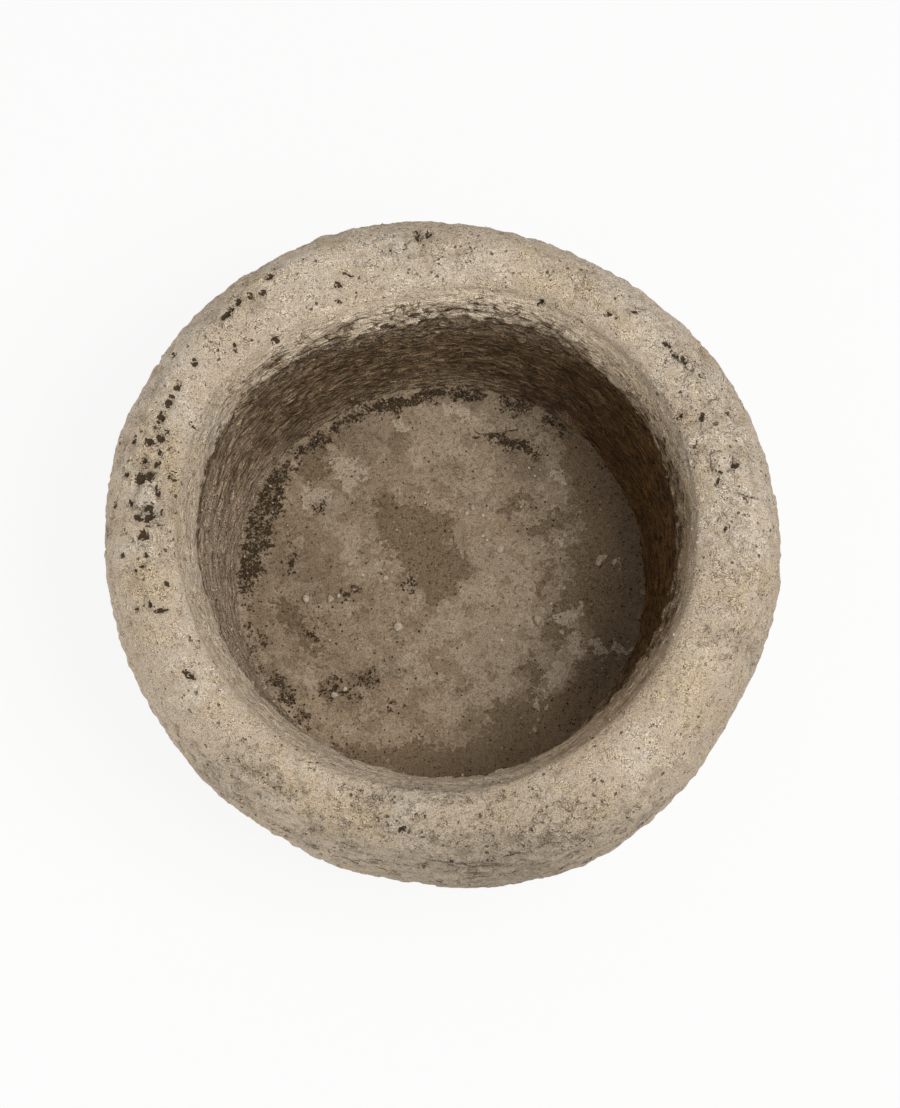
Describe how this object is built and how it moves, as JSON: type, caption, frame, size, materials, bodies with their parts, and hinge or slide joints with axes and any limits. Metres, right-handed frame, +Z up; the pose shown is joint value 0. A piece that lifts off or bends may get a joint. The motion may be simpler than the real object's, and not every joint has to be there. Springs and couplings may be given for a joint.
{
  "type": "stone trough planter",
  "caption": "Round hand-carved stone trough with a thick rolled rim, an undercut hollow and a packed silt bed inside; a free-standing planter.",
  "frame": {"origin": "centre of the underside, on the ground", "axes": "+Z up out of the mouth; -Y towards the front, where the rim has its broken ledge; +X to the right"},
  "size_m": [0.5784, 0.566, 0.36],
  "materials": {
    "limestone": "matte",
    "packed_silt": "matte",
    "limestone_chips": "matte"
  },
  "bodies": {
    "root": {"stone_body": "limestone", "silt_bed": "packed_silt", "loose_crumbs": "limestone_chips"}
  },
  "joints": []
}
